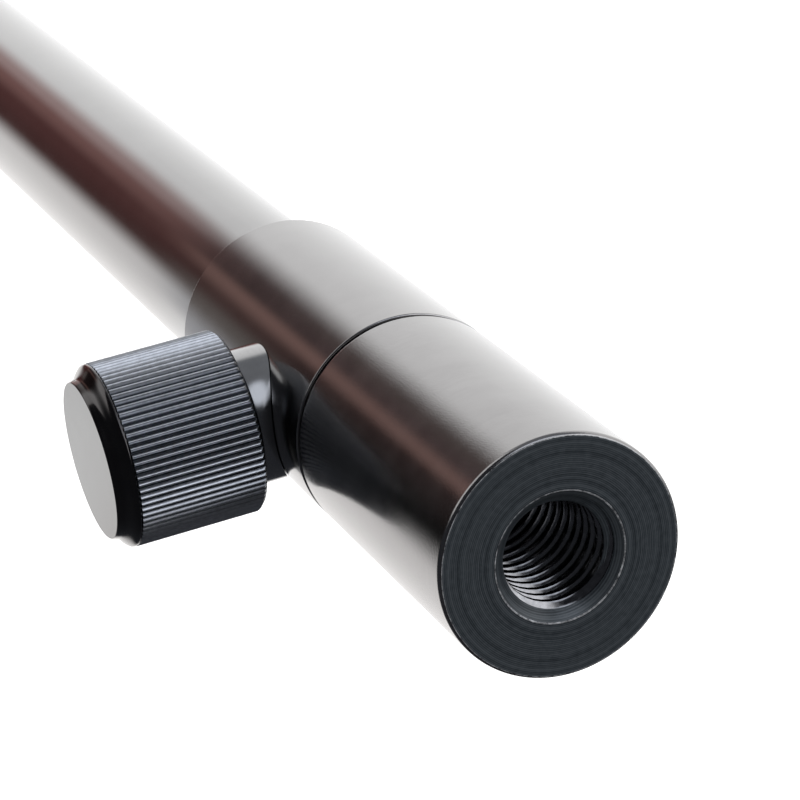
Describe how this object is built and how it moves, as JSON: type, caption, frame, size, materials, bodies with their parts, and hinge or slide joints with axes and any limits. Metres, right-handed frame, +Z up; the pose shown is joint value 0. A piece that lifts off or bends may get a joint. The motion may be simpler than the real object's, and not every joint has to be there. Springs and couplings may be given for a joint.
{
  "type": "telescopic bank stick",
  "caption": "Telescopic bank stick: pointed spike, tube with a clamp collar and knurled thumb screw, and an inner tube whose head has a threaded socket for a rod rest.",
  "frame": {"origin": "tip of the ground spike", "axes": "+Z up along the stick to the threaded head, -X towards the thumb knob"},
  "size_m": [0.0348, 0.02, 0.305],
  "materials": {
    "gloss_black_anodised": "gloss black anodised",
    "satin_black_anodised": "satin black anodised, straight knurl",
    "bare_aluminium": "turned",
    "steel": "bright stainless",
    "white_nylon": "turned nylon",
    "black_nylon": "turned nylon",
    "black_rubber": "matt"
  },
  "bodies": {
    "outer": {"ground_spike": "gloss_black_anodised", "spike_pin": "steel", "outer_tube": "gloss_black_anodised", "clamp_collar": "gloss_black_anodised", "collar_bush": "black_nylon", "clamp_boss": "gloss_black_anodised"},
    "slider": {"tail_bush": "white_nylon"},
    "extension": {"tail_screw": "steel", "tail_washer": "steel", "tail_plug": "bare_aluminium", "inner_tube": "gloss_black_anodised", "buffer_ring": "black_rubber", "threaded_head": "gloss_black_anodised"},
    "pad": {"clamp_pad": "white_nylon"},
    "thumb_screw": {"thumb_screw": "steel", "thumb_knob": "satin_black_anodised"}
  },
  "joints": [
    {"name": "extension_slide", "type": "slide", "parent": "outer", "child": "slider", "axis": [0, 0, 1], "range_m": [0, 0.18]},
    {"name": "extension_swivel", "type": "hinge", "parent": "slider", "child": "extension", "pos_m": [0, 0, 0.07], "axis": [0, 0, 1], "continuous": true},
    {"name": "pad_advance", "type": "slide", "parent": "outer", "child": "pad", "axis": [-1, 0, 0], "range_m": [0, 0.002]},
    {"name": "thumb_screw_turn", "type": "hinge", "parent": "pad", "child": "thumb_screw", "pos_m": [-0.012, 0, 0.262], "axis": [-1, 0, 0], "range_deg": [0, 720]}
  ],
  "couplings": [
    {"joint": "thumb_screw_turn", "follows": "pad_advance", "rad_per_m": 6283.2}
  ]
}
